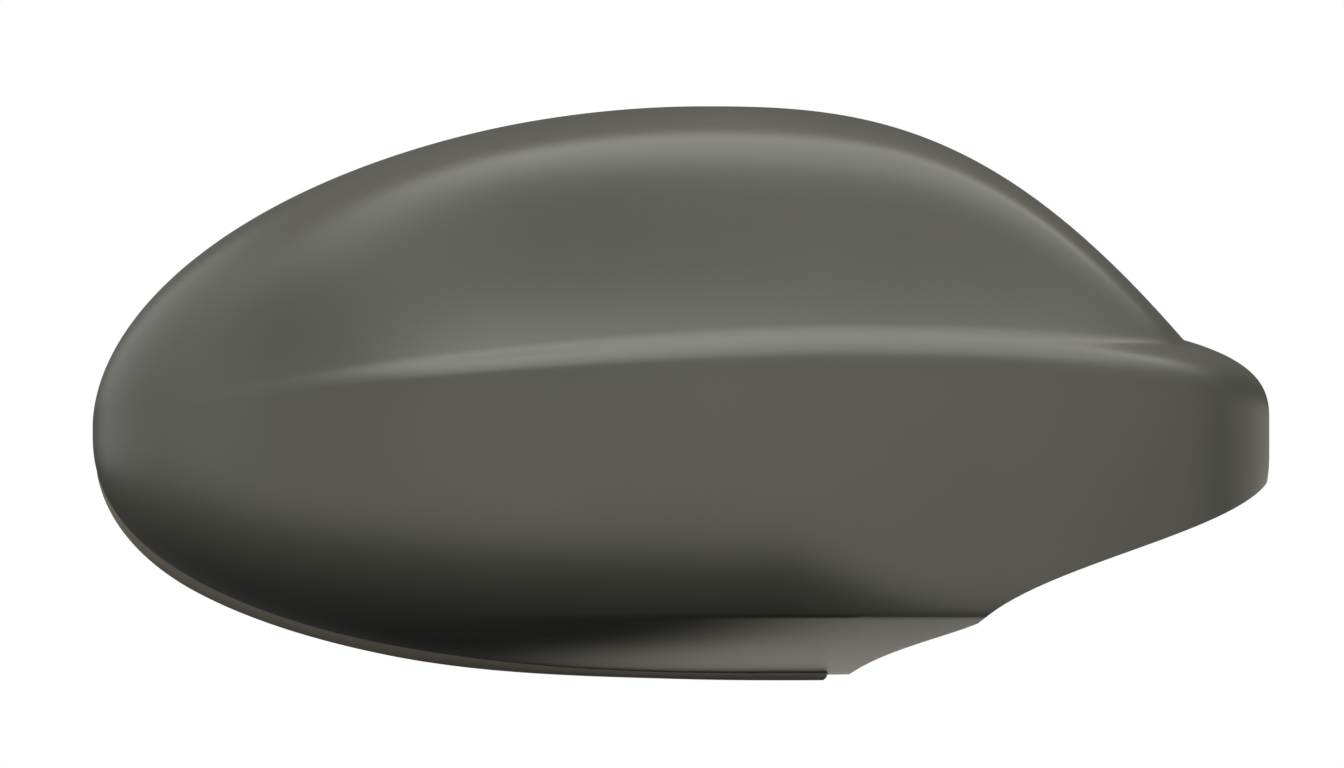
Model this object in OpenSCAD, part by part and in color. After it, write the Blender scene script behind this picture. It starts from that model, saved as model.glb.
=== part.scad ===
// Front cover of a car's wing mirror housing: one moulded shell, open at the back.
// X runs along the cover with the arm on the +X side, Z is up, and the front faces -Y.
// The rim lies in the plane Y = 0. Every section across X is a closed curve around an axis line,
// which runs along X in the rim plane from the outer tip to the inner tip.

/* [Overall] */
// Length along X
cover_length = 244; // [225:1:265]
// Height of the dome above the axis line
dome_rise = 66.8; // [58:0.2:74]
// Depth of the belly below the axis line
belly_drop = 51; // [46:0.2:56]
// Distance from the rim plane to the foremost point
cover_depth = 76; // [68:1:86]
// Thickness of the shell's wall
wall = 2.5; // [2:0.1:3]
// Height of the axis line above the middle of the rim
axis_z = -7.4; // [-12:0.2:-3]

/* [Dome] */
// Place of the dome's highest point along X
dome_peak_x = 4; // [-6:1:14]
// Place of the dome's inner end along X
dome_end_x = 112; // [106:1:116]
// Setback of the dome's foot behind the crease
ledge = 1.5; // [1:0.1:3]
// Setback of the dome's field behind its foot
flare = 8; // [5:0.5:11]
// The same setback at the outer tip
tip_flare = 12; // [8:0.5:15]

/* [Nose] */
// Height of the nose above the axis line
nose_rise = 25; // [22:0.5:28]
// Place of the foremost point along X
front_x = 45; // [35:1:55]

/* [Underside] */
// Place of the lowest point along X
belly_x = 22; // [14:1:30]
// Depth of the lower edge below the axis line
edge_drop = 38; // [35:0.5:41]
// Place along X where the lower edge has faded out
edge_fade_x = -75; // [-90:1:-50]

/* [Rim bead] */
// Width of the bead along Y
bead_width = 3; // [2:0.2:4]
// Height of the bead above the outer wall
bead_proud = 2.3; // [1.5:0.1:3]

/* [Arm opening] */
// Place along X where the opening leaves the lower rim
arm_x = 33; // [26:1:40]
// Height of the opening's end at the inner tip
arm_z = -17.5; // [-22:0.5:-14]

/* [Snap tabs] */
// Width of a tab
tab_width = 12; // [9:1:15]
// Thickness of a tab
tab_thick = 2.2; // [1.6:0.2:2.8]
// Reach of a tab behind the rim
tab_reach = 9; // [7:0.5:11]
// Height of a tab's hook
hook_height = 1.6; // [1:0.2:2]

/* [Locating pegs] */
// Diameter of a peg
peg_d = 5; // [4:0.5:6]
// Length of a peg
peg_length = 12; // [8:0.5:16]
// Diameter of the boss that carries a peg
boss_d = 11; // [9:0.5:13]
// Depth of the boss's end face below the rim plane
boss_depth = 8; // [5:0.5:12]

/* [Ribs] */
// Thickness of a rib
rib_thick = 1.4; // [1:0.1:2]
// Height of a rib above the inner wall
rib_height = 5; // [3:0.5:7]

/* [Hidden] */

half_length = cover_length / 2;

// Steps along X, and across it those of the dome, its foot, the crease, the face, the belly and
// the underside, for the outer skin and for the inner one
long_steps = [56, 38];
row_steps = [[10, 6, 9, 5, 8, 7], [7, 4, 6, 4, 5, 5]];
// Where the rows of the foot, of the crease and of the face begin, as shares of the crease's angle
row_shares = [2.9, 1.5, 0.7];
// Where the rows of the dome's foot begin near the arm, and the stretch over which they widen
fan_angle = 48;
fan_x = 40;
fan_run = 60;

// Powers of the superellipses: 2 is an ellipse, and more is boxier
dome_power = 9;
flank_power = 14;
plain_power = 4.5;
nose_power = 6.5;
belly_power = 3.6;
arm_power = 9;
// Arches over X: their power towards the outer tip, and their power and root towards the inner
top_arch = [1.91, 2.8, 1.38];
front_arch = [2.3, 5, 1 / 5];
nose_arch = [1.5, 2.4, 1 / 3.1];
keel_arch = [2.3, 4.5, 1 / 4.5];
belly_arch = [2.33, 2.6, 1 / 2.6];

// Widths over which the dome blends into the nose, and the belly into the underside
valley = 2;
edge_soft = 0.7;
// Height of the crease as a share of the nose's, and the angle over which the dome's foot fades,
// with the power of its fading
crease_share = 0.62;
foot_angle = 60;
foot_power = 3;
// Stretch along X over which the plain section of the outer tip gains its crease
crease_x = -115;
crease_run = 85;
// Stretch along X over which the dome grows boxier
flank_x = 20;
flank_run = 75;
// Stretch along X over which the belly grows boxier
belly_run_x = 18;
belly_run = 60;
// How far before the nose's foremost point those of the dome and of the crease lie
dome_lag = 4;
crease_lag = 15;
// The lower edge is never closer to the rim than this share of the belly's drop
edge_limit = 0.86;

bead_steps = 34;
bead_root = 1;
// Share of its height at which the bead starts, and how fast it grows
bead_growth = [0.1, 2.6];
// Stretch along X over which it grows thinner towards the arm, and the share that is left there
thin_x = -60;
thin_run = 60;
thin_share = 0.45;
bead_soft = 0.6;
// How far before the arm opening the bead ends
bead_gap = 2;
// Slope of the bead's end towards the arm
bead_slant = 1.1;

// Run of the arm opening along X, from the lower rim to the lower edge, and its margins below
// that edge, below the rim and before the inner tip
arm_run = 28;
edge_margin = 1.4;
low_margin = 2;
tip_margin = 0.5;
// Pulls of its two curves at both ends
strip_pulls = [[6, 7], [7, 3.4]];
front_pulls = [[12, 12], [9, 11]];
curve_steps = [8, 12];
far = 60;

// Where tabs, pegs and ribs stand, as shares of the half length
upper_tabs = [-0.72, -0.1, 0.36];
lower_tabs = [-0.62, 0.02];
pegs = [-0.42, 0.62];
upper_ribs = [-0.56, -0.26, 0.12, 0.5];
lower_ribs = [-0.44, -0.2, 0.18];
// Angles at which the ribs start and end
upper_span = [80, 22];
lower_span = [-34, -80];

tab_gap = 1.2;
tab_root = [14, 26];
foot_back = 5;
hook_run = 3;
peg_chamfer = 0.8;
peg_root = 1;
round_steps = 48;
boss_sunk = 1.3;
rib_steps = 12;

// A quarter of a superellipse: 1 in the middle, 0 at the end
function quarter(u, power, root) = pow(max(0, 1 - pow(min(1, abs(u)), power)), root);

// An arch over X that is 1 at mid and 0 at both ends, inset from them
function arch(x, mid, end1, inset, form) =
    x < mid ? quarter((mid - x) / (mid + half_length - inset), form[0], 1 / form[0])
            : quarter((x - mid) / (end1 - inset - mid), form[1], form[2]);

function clamp01(t) = min(1, max(0, t));
function ease(t) = clamp01(t) * clamp01(t) * (3 - 2 * clamp01(t));
function lerp(a, b, t) = a + (b - a) * t;
function overlap(a, b, width) = max(width - abs(a - b), 0) / max(width, 0.001);
function soft_max(a, b, width) = max(a, b) + width * pow(overlap(a, b, width), 3) / 6;

// Heights and depths of the bodies at x, with their surfaces moved inwards by inset
function dome_top(x, inset) =
    (dome_rise - inset) * arch(x, dome_peak_x, half_length, inset, top_arch);
function flare_at(x) = lerp(tip_flare, flare, ease((x - crease_x) / (front_x - crease_x)));
function dome_front(x, inset) =
    (cover_depth - ledge - flare_at(x) - inset)
    * arch(x, front_x - dome_lag, dome_end_x, inset, front_arch);
function nose_top(x, inset) =
    (nose_rise - inset) * arch(x, front_x - crease_lag, half_length, inset, nose_arch);
function keel(x, inset) =
    (cover_depth - inset) * arch(x, front_x, half_length, inset, keel_arch);
function belly_low(x, inset) =
    (belly_drop - inset) * arch(x, belly_x, half_length, inset, belly_arch);

// Share of the full depth at x, which tapers small features to nothing at the tips
function taper(x, inset) = keel(x, inset) / (cover_depth - inset);

// Distance from the axis line to a superellipse in the direction with cosine c and sine s
function ray(c, s, depth, height, power) =
    pow(pow(c / max(depth, 0.01), power) + pow(s / max(height, 0.01), power), -1 / power);

// Angle above the axis line at which the crease runs
function crease_angle(x, inset) = atan(crease_share * nose_top(x, inset) / keel(x, inset));

// Power of the belly's superellipse
function boxy(x) = lerp(belly_power, arm_power, ease((x - belly_run_x) / belly_run));

// Angle and depth of the lower edge
function edge_share(x, inset) = min(edge_limit, edge_drop / max(belly_low(x, 0), 1));
function edge_depth(x, inset) =
    keel(x, inset) * quarter(edge_share(x, inset), boxy(x), 1 / boxy(x));
function edge_angle(x, inset) =
    atan(edge_share(x, inset) * belly_low(x, inset) / edge_depth(x, inset));

// Distance from the axis line to the surface above it: the dome, its foot and the nose, which
// grow out of one plain curve at the outer tip
function upper_radius(x, a, inset) =
    let (c = cos(a),
         s = sin(a),
         size = taper(x, inset),
         round = lerp(dome_power, flank_power, ease((x - flank_x) / flank_run)),
         top = dome_top(x, inset),
         crease = crease_angle(x, inset),
         near = pow(clamp01(1 - (a - crease) / foot_angle), foot_power),
         spread = flare_at(x) / (cover_depth - ledge - flare_at(x)),
         dome = ray(c, s, dome_front(x, inset), top, round) * (1 + spread * near),
         nose = ray(c, s, keel(x, inset), nose_top(x, inset), nose_power),
         creased = soft_max(dome, nose, valley * size * c * ease(a / crease)),
         plain = ray(c, s, keel(x, inset), top, plain_power))
    lerp(plain, creased, ease((x - crease_x) / crease_run));

// Distance from the axis line to the surface below it: the belly, cut flat behind the lower edge
function lower_radius(x, a, inset) =
    let (c = cos(a),
         s = sin(a),
         low = belly_low(x, inset),
         slope = (1 - edge_share(x, inset)) * low / edge_depth(x, inset),
         belly = ray(c, s, keel(x, inset), low, boxy(x)),
         flat = low / (s + c * slope),
         cut = soft_max(0, belly - flat, edge_soft * taper(x, inset)))
    belly - cut * ease((x - edge_fade_x) / (front_x - edge_fade_x));

// A point of the surface: a runs from 90 at the upper rim to -90 at the lower rim
function skin(x, a, inset) =
    let (r = a >= 0 ? upper_radius(x, a, inset) : lower_radius(x, -a, inset))
    [x, -r * cos(a), axis_z + r * sin(a)];

// Angles of a section's rows, with one row on the lower edge. The rows stand closest on the
// crease, and those of the dome's foot spread out towards the arm.
function rows(x, inset) =
    let (crease = crease_angle(x, inset),
         foot = lerp(row_shares[0] * crease, fan_angle, ease((x - fan_x) / fan_run)),
         steps = row_steps[inset > 0 ? 1 : 0],
         face = [for (k = [1, 2]) row_shares[k] * crease],
         ends = [90, foot, face[0], face[1], 0, -edge_angle(x, inset), -90])
    concat([for (k = [0 : 5], i = [0 : steps[k] - 1]) lerp(ends[k], ends[k + 1], i / steps[k])],
           [-90]);

// A section's points, with one more behind the rim at both ends where back is above 0
function section(x, inset, back) =
    let (line = [for (a = rows(x, inset)) skin(x, a, inset)],
         top = line[0],
         low = line[len(line) - 1])
    back > 0 ? concat([[x, back, top[2]]], line, [[x, back, low[2]]]) : line;

// A closed solid that fills the skin up to the plane Y = back. Its stations along X crowd
// together towards both tips.
module body(inset, back) {
    steps = long_steps[inset > 0 ? 1 : 0];
    tip = half_length - inset;
    lines = [for (i = [1 : steps - 1]) section(-cos(180 * i / steps) * tip, inset, back)];
    n = len(lines[0]);
    m = len(lines);
    last = 2 + (m - 1) * n;
    sides = [for (i = [0 : m - 2], j = [0 : n - 2])
        let (p = 2 + i * n + j)
        each [[p, p + n + 1, p + 1], [p, p + n, p + n + 1]]];
    ends = [for (j = [0 : n - 2]) each [[0, 2 + j, 3 + j], [1, last + j + 1, last + j]]];
    top_edge = [for (i = [m - 1 : -1 : 0]) 2 + i * n];
    low_edge = [for (i = [0 : m - 1]) 2 + i * n + n - 1];
    polyhedron(concat([[-tip, back, axis_z], [tip, back, axis_z]], [for (line = lines) each line]),
               concat(sides, ends, [concat([0], low_edge, [1], top_edge)]), convexity = 6);
}

// A closed solid swept through rings of points
module swept(rings) {
    n = len(rings[0]);
    m = len(rings);
    sides = [for (i = [0 : m - 2], j = [0 : n - 1])
        let (p = i * n + j, q = i * n + (j + 1) % n)
        each [[p, q, q + n], [p, q + n, p + n]]];
    caps = [[for (j = [n - 1 : -1 : 0]) j], [for (j = [0 : n - 1]) (m - 1) * n + j]];
    polyhedron([for (ring = rings) each ring], concat(sides, caps), convexity = 6);
}

// Height of the rim at x, above for side 1 and below for side -1, and the angle of its slope
function rim_z(x, side, inset) =
    axis_z + (side > 0 ? dome_top(x, inset) : -belly_low(x, inset));
function rim_slope(x, side, inset) =
    atan((rim_z(x + 0.1, side, inset) - rim_z(x - 0.1, side, inset)) / 0.2);

// Direction out of the lower rim at x, in the rim plane
function outward(x) =
    let (slope = rim_slope(x, -1, 0))
    [sin(slope), -cos(slope)];

// The bead along the lower rim, which grows from the outer tip and ends beside the arm
module rim_bead() {
    start = bead_root - half_length;
    rings = [for (i = [0 : bead_steps])
        let (t = i / bead_steps,
             x = lerp(start, arm_x - bead_gap, 1 - cos(90 * t)),
             out = outward(x),
             thinner = lerp(1, thin_share, ease((x - thin_x) / thin_run)),
             proud = bead_proud * thinner * ease(bead_growth[0] + bead_growth[1] * t))
        [for (k = [[-bead_root, 0], [proud, 0], [proud, bead_soft - bead_width],
                   [proud - bead_soft, -bead_width], [-bead_root, -bead_width]])
            let (slant = i == bead_steps ? bead_slant * max(0, k[0]) : 0)
            [x + out[0] * k[0] - slant, k[1], rim_z(x, -1, 0) + out[1] * k[0]]]];
    swept(rings);
}

// Puts its children on the inner edge of the rim at x, with Z pointing out of the shell
module at_rim(x, side) {
    translate([x, 0, rim_z(x, side, wall)])
        rotate([0, -rim_slope(x, side, wall), 0])
            mirror([0, 0, side > 0 ? 0 : 1])
                children();
}

// A snap tab's plate, with a hook at its end behind the rim
module tab_plate(root) {
    inner = -tab_gap - tab_thick;
    profile = [[-root, inner], [-root, -tab_gap], [tab_reach, -tab_gap],
               [tab_reach, inner], [tab_reach - hook_run, inner - hook_height],
               [tab_reach - hook_run, inner]];
    across_rim(tab_width) polygon(profile);
}

// A snap tab's foot, which joins the plate to the wall
module tab_foot(root) {
    across_rim(tab_width)
        translate([-root, -tab_gap - tab_thick])
            square([root - foot_back, tab_gap + tab_thick + wall]);
}

// Extrudes a profile, drawn with Y as its first axis and out of the shell as its second
module across_rim(width) {
    rotate([90, 0, 90])
        translate([0, 0, -width / 2])
            linear_extrude(width)
                children();
}

// The boss of a locating peg, a column that runs along the wall up to the front
module peg_boss() {
    translate([0, -boss_depth, boss_sunk - boss_d / 2])
        rotate([90, 0, 0])
            cylinder(d = boss_d, h = cover_depth, $fn = round_steps);
}

// A locating peg with a chamfered end
module peg() {
    length = peg_root + peg_length - peg_chamfer;
    translate([0, -boss_depth - peg_root, boss_sunk - boss_d / 2])
        rotate([-90, 0, 0]) {
            cylinder(d = peg_d, h = length, $fn = round_steps);
            translate([0, 0, length])
                cylinder(d1 = peg_d, d2 = peg_d - 2 * peg_chamfer, h = peg_chamfer, $fn = round_steps);
        }
}

// A rib across the shell at x, over a span of angles, sunk into the wall
module rib(x, span) {
    outer = wall / 2;
    inner = wall + rib_height;
    rings = [for (i = [0 : rib_steps])
        let (a = lerp(span[0], span[1], i / rib_steps),
             p = skin(x, a, outer),
             q = skin(x, a, inner),
             w = [rib_thick / 2, 0, 0])
        [p - w, p + w, q + w, q - w]];
    swept(rings);
}

// The opening for the arm: from the lower rim to the lower edge, then up to the inner tip
module arm_cut() {
    start = [arm_x, axis_z - belly_drop - low_margin];
    corner = [arm_x + arm_run, axis_z - edge_drop - edge_margin];
    tip = [half_length - tip_margin, arm_z];
    strip = curve([start, start + strip_pulls[0], corner - strip_pulls[1], corner],
                  curve_steps[0]);
    front = curve([corner, corner + front_pulls[0], tip - front_pulls[1], tip], curve_steps[1]);
    outside = [[half_length + far, arm_z], [half_length + far, -cover_length], [arm_x, -cover_length]];
    rotate([90, 0, 0])
        translate([0, 0, -far])
            linear_extrude(cover_depth + 2 * far)
                polygon(concat(strip, [for (i = [1 : len(front) - 1]) front[i]], outside));
}

// Points of a cubic curve with four control points
function curve(p, n) =
    [for (i = [0 : n])
        let (t = i / n, u = 1 - t)
        u * u * u * p[0] + 3 * u * u * t * p[1] + 3 * u * t * t * p[2] + t * t * t * p[3]];

// The space inside the shell, less the feet, bosses and ribs that stand in it
module hollow() {
    difference() {
        body(wall, 1);
        for (share = lower_tabs) at_rim(share * half_length, -1) tab_foot(tab_root[0]);
        for (share = upper_tabs) at_rim(share * half_length, 1) tab_foot(tab_root[1]);
        for (share = pegs) at_rim(share * half_length, 1) peg_boss();
        for (share = upper_ribs) rib(share * half_length, upper_span);
        for (share = lower_ribs) rib(share * half_length, lower_span);
    }
}

module mirror_cover() {
    color("#5b5a53")
    difference() {
        union() {
            difference() {
                union() {
                    body(0, 0);
                    rim_bead();
                }
                hollow();
            }
            for (share = lower_tabs) at_rim(share * half_length, -1) tab_plate(tab_root[0]);
            for (share = upper_tabs) at_rim(share * half_length, 1) tab_plate(tab_root[1]);
            for (share = pegs) at_rim(share * half_length, 1) peg();
        }
        arm_cut();
    }
}

mirror_cover();
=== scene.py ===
"""Dressed scene of the front cover of a car's wing mirror housing.

The cover is one moulding, made by Geometry Nodes from the same rules as the part's solid. A
section across X is a closed curve around the axis line, which runs along X in the rim plane.
"""

import math

import bpy
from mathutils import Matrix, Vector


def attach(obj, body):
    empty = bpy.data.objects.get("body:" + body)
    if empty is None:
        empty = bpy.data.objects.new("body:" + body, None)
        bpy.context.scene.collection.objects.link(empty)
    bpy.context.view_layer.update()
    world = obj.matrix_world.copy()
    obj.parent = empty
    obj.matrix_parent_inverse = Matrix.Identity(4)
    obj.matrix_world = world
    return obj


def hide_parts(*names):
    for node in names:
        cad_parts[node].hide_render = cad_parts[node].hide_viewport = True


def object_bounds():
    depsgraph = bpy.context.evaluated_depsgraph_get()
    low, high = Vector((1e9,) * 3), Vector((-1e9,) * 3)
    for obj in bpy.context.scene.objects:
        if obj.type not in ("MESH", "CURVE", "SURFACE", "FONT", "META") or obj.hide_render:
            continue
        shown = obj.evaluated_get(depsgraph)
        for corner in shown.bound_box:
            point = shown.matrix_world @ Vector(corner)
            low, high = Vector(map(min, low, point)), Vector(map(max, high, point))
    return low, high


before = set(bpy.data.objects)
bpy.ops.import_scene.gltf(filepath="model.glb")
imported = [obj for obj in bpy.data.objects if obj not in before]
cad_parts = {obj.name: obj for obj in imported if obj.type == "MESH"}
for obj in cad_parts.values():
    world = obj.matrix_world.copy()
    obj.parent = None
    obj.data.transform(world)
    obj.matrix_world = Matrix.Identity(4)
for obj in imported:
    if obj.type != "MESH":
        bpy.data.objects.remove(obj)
cad_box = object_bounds()

bl_info = {
    "name": "Wing mirror cover",
    "version": (1, 0, 0),
    "blender": (4, 5, 0),
    "location": "3D View > Sidebar > Mirror Cover",
    "description": "Builds the front cover of a wing mirror housing with its stage",
    "category": "Object",
}

MM = 0.001

# Powers of the superellipses: 2 is an ellipse, and more is boxier
DOME_POWER = 9
FLANK_POWER = 14
PLAIN_POWER = 4.5
NOSE_POWER = 6.5
BELLY_POWER = 3.6
ARM_POWER = 9

# Arches over X: their power towards the outer tip, and their power and root towards the inner
TOP_ARCH = (1.91, 2.8, 1.38)
FRONT_ARCH = (2.3, 5, 1 / 5)
NOSE_ARCH = (1.5, 2.4, 1 / 3.1)
KEEL_ARCH = (2.3, 4.5, 1 / 4.5)
BELLY_ARCH = (2.33, 2.6, 1 / 2.6)

# Where tabs, pegs and ribs stand, as shares of the half length
UPPER_TABS = (-0.72, -0.1, 0.36)
LOWER_TABS = (-0.62, 0.02)
PEGS = (-0.42, 0.62)
UPPER_RIBS = (-0.56, -0.26, 0.12, 0.5)
LOWER_RIBS = (-0.44, -0.2, 0.18)

# How far before the nose's foremost point those of the dome and of the crease lie
DOME_LAG = 4 * MM
CREASE_LAG = 15 * MM
# The dome's flank and the belly grow boxier over these stretches towards the arm
FLANK_START = 20 * MM
FLANK_RUN = 75 * MM
BELLY_START = 18 * MM
BELLY_RUN = 60 * MM
# The plain section of the outer tip gains its crease over this stretch, at this share of the nose
CREASE_START = -115 * MM
CREASE_RUN = 85 * MM
CREASE_SHARE = 0.62
# Widths of the blends between dome and nose and at the lower edge
VALLEY = 2 * MM
EDGE_SOFT = 0.7 * MM
# The lower edge is never closer to the rim than this share of the belly's drop
EDGE_LIMIT = 0.86
# Angle over which the dome's foot fades, and the power of its fading
FOOT_ANGLE = math.radians(60)
FOOT_POWER = 3
# Distance between the points that give the rim's slope, and the least height of a body
RIM_STEP = 0.1 * MM
TINY = 0.005 * MM
# The least number to divide by
LEAST = 0.001

# Steps along X, and across it those of the dome, its foot, the face and the underside, for the
# outer skin and for the inner one
OUTER_STEPS = (300, (56, 60, 40, 26))
INNER_STEPS = (150, (24, 26, 20, 14))
# Rows crowd towards the start of their stretch above 1, and towards its end below
ROW_BENDS = (1, 1, 0.75, 1.5)
# Where the rows of the dome's foot begin, in angles of the crease, and at which angle near the arm
FOOT_ROWS = 2.6
FAN_ANGLE = math.radians(48)
FAN_START = 40 * MM
FAN_RUN = 60 * MM
# How far the hollow reaches behind the rim plane, and the distance at which points are one
BACK = 1 * MM
MERGE = 0.03 * MM
# The hollow's surface is set this much back, and the bead stops this much before the rim plane,
# so that no faces coincide
APART = 0.003 * MM

# The bead's section: outwards in shares of its height or of its root, and along Y in millimetres
BEAD_SECTION = (
    (1, -1.1),
    (1, -0.3),
    (0.94, 0),
    (-1, 0),
    (-1, -3),
    (0.4, -3),
    (0.7, -2.85),
    (0.9, -2.6),
)
BEAD_STEPS = 160
BEAD_ROOT = 1 * MM
# Shares of a turn below minus this count as the turn's second half
TURN_SLACK = 0.01
# How far up its rise the bead starts, and how fast it rises
BEAD_FIRST = 0.1
BEAD_GROWTH = 2.6
# The bead grows thinner towards the arm over this stretch, down to this share
BEAD_START = -60 * MM
BEAD_RUN = 60 * MM
BEAD_SHARE = 0.45
# How far before the arm's opening the bead ends, and the slope of its end
BEAD_GAP = 2 * MM
BEAD_SLANT = 1.1

# Run of the arm's opening along X from the lower rim to the lower edge, and its margins below
# that edge, below the rim and before the inner tip
ARM_RUN = 28 * MM
EDGE_MARGIN = 1.4 * MM
LOW_MARGIN = 2 * MM
TIP_MARGIN = 0.5 * MM
# Pulls of its two curves at both ends
STRIP_PULLS = ((6 * MM, 7 * MM), (7 * MM, 3.4 * MM))
FRONT_PULLS = ((12 * MM, 12 * MM), (9 * MM, 11 * MM))
ARM_STEPS = 96
# How far the cutter reaches past the inner tip, its underside's height and its length along Y
ARM_FAR = 60 * MM
ARM_FLOOR = -150 * MM
ARM_LENGTH = 400 * MM

# Snap tabs, in millimetres: the plate runs this far below the wall's inner face
TAB_WIDTH = 12
TAB_THICK = 2.2
TAB_GAP = 1.2
TAB_REACH = 9
UPPER_ROOT = 26
LOWER_ROOT = 14
HOOK_RUN = 3
HOOK_HEIGHT = 1.6
HOOK_SUNK = 0.2
# Where a tab's foot ends before the rim plane, and how far it stands in the wall
FOOT_BACK = 5
FOOT_SUNK = 2.5
# The foot is smaller than the plate by this all round, so that no faces coincide
TAB_SLACK = 0.01

# Locating pegs and their bosses, in millimetres
PEG_D = 5
PEG_END = 4
PEG_ROOT = 1
PEG_CHAMFER = 0.8
# Length of the cone, sloped at 45 degrees, that cuts a peg's chamfer
PEG_CONE = 30
BOSS_D = 11
BOSS_DEPTH = 8
BOSS_LENGTH = 76
BOSS_SUNK = 1.3
PEG_HEIGHT = BOSS_SUNK - BOSS_D / 2
ROUND_STEPS = 64

# Angles in degrees at which the ribs start and end
UPPER_SPAN = (80, 22)
LOWER_SPAN = (-34, -80)
RIB_STEPS = 40

# Edges sharper than this are shaded as edges
SHARP_ANGLE = math.radians(35)

# Scales of the noises: the primer's clouds, its peel and its speckle, the plastic's grain, and the
# edge of the overspray
CLOUD_SCALE = 14
PEEL_SCALE = 420
SPECKLE_SCALE = 2600
GRAIN_SCALE = 900
SPRAY_SCALE = 60
# How far the primer strays from its colour, and how much lighter the plastic's grain is
PRIMER_SPREAD = 0.1
GRAIN_LIGHT = 1.5
# Where the clouds and the speckle start to lighten the primer, and how fast they do
CLOUD_START = 0.25
CLOUD_GAIN = 2
SPECKLE_START = 0.55
SPECKLE_GAIN = 0.5
# How much of the bead's lighter colour shows everywhere, the rest in clouds. That colour is partly
# a guessed rubbed edge and partly painted light: it is made lighter to stand in for light that
# the lamps don't bring to the bead in the shade under the belly
BEAD_EVEN = 0.6
# Overspray inside, in millimetres: the depth over which it fades and how far its edge wanders;
# then the most of the plastic that it covers
SPRAY_DEPTH = 9
SPRAY_WANDER = 14
SPRAY_COVER = 0.75
PLASTIC_ROUGHNESS = 0.58
# How much the roughness varies: the primer's with its clouds and its grain, then the plastic's
ROUGH_CLOUDS = 0.06
ROUGH_GRAIN = 0.04
ROUGH_PLASTIC = 0.1
# Heights of the primer's peel and speckle, where the plastic's grain is 1
PEEL_HEIGHT = 0.35
SPECKLE_HEIGHT = 0.08
BUMP_STRENGTH = 0.12
BUMP_DEPTH = 0.2 * MM

# Width of the photographed field at the rim, and the point at its middle
FIELD_WIDTH = 278.8 * MM
FIELD_MIDDLE = (-1.55 * MM, -10 * MM, 2.2 * MM)
CAMERA_DISTANCE = 4
CAMERA_FAR = 20
SENSOR_WIDTH = 36

# Half the floor's width, and its greys as lamps and as the camera see it
FLOOR_REACH = 9
FLOOR_DARK = 0.09
FLOOR_PALE = 0.85
# Colour in which gloss sees the floor, and how much of it
FLOOR_GLOSS = (1, 0.96, 0.84)
GLOSS_SHARE = 0.96
# Gloss sees it in front of the cover and behind its inner half, each from a start over a run
FRONT_START = 130 * MM
FRONT_RUN = 100 * MM
BEHIND_RUN = 40 * MM
INNER_START = -50 * MM
INNER_RUN = 90 * MM
# The cover's shadow is kept up to here, in an oval of this shape
SHADOW_REACH = 180 * MM
SHADOW_RUN = 150 * MM
SHADOW_SHAPE = 0.4
# The glow there makes up for what the lamps leave below white
SHADOW_LIFT = 1.2

# Each lamp's name, place, width, height, the stage's size that holds its power, its share of that
# power, and its colour
WHITE = (1, 1, 1)
WARM = (1, 0.98, 0.93)
LAMPS = (
    ("key", (0.05, -0.48, 1.0), 1.8, 0.3, "key_power", 1, WARM),
    ("front", (-0.2, -1.1, 1.0), 1.6, 0.6, "front_power", 1, WHITE),
    ("low", (-0.4, -1.8, -0.02), 1.2, 0.4, "low_power", 1, WHITE),
    ("outer", (-1.1, 0.2, 0.35), 2.2, 1.1, "side_power", 1, WHITE),
    ("inner", (0.9, -0.6, 0.9), 1.2, 0.7, "side_power", 0.5, WHITE),
)


class Value:
    """A number from a node's socket. Python's operators on it add Math nodes."""

    def __init__(self, tree, socket):
        self.tree = tree
        self.socket = socket

    def math(self, operation, *others, clamp=False):
        settings = {"operation": operation, "use_clamp": clamp}
        sockets = dict(enumerate((self, *others)))
        return self.tree.node("ShaderNodeMath", settings, sockets).value()

    def __add__(self, other):
        return self.math("ADD", other)

    __radd__ = __add__

    def __mul__(self, other):
        return self.math("MULTIPLY", other)

    __rmul__ = __mul__

    def __sub__(self, other):
        return self.math("SUBTRACT", other)

    def __rsub__(self, other):
        return self * -1 + other

    def __truediv__(self, other):
        return self.math("DIVIDE", other)

    def __rtruediv__(self, other):
        return self ** -1 * other

    def __pow__(self, other):
        return self.math("POWER", other)

    def __neg__(self):
        return self * -1

    def __gt__(self, other):
        return self.math("GREATER_THAN", other)

    def __lt__(self, other):
        return self.math("LESS_THAN", other)

    def clamped(self):
        return self.math("ADD", 0, clamp=True)

    def cos(self):
        return self.math("COSINE")

    def sin(self):
        return self.math("SINE")

    def at_least(self, other):
        return self.math("MAXIMUM", other)

    def at_most(self, other):
        return self.math("MINIMUM", other)

    def soft_max(self, other, width):
        return self.math("SMOOTH_MAX", other, width)


class Node:
    """A new node, whose sockets are read by name or number."""

    def __init__(self, tree, node):
        self.tree = tree
        self.node = node

    def value(self, key=0):
        return Value(self.tree, self.node.outputs[key])

    def out(self, key=0):
        return self.node.outputs[key]


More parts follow.
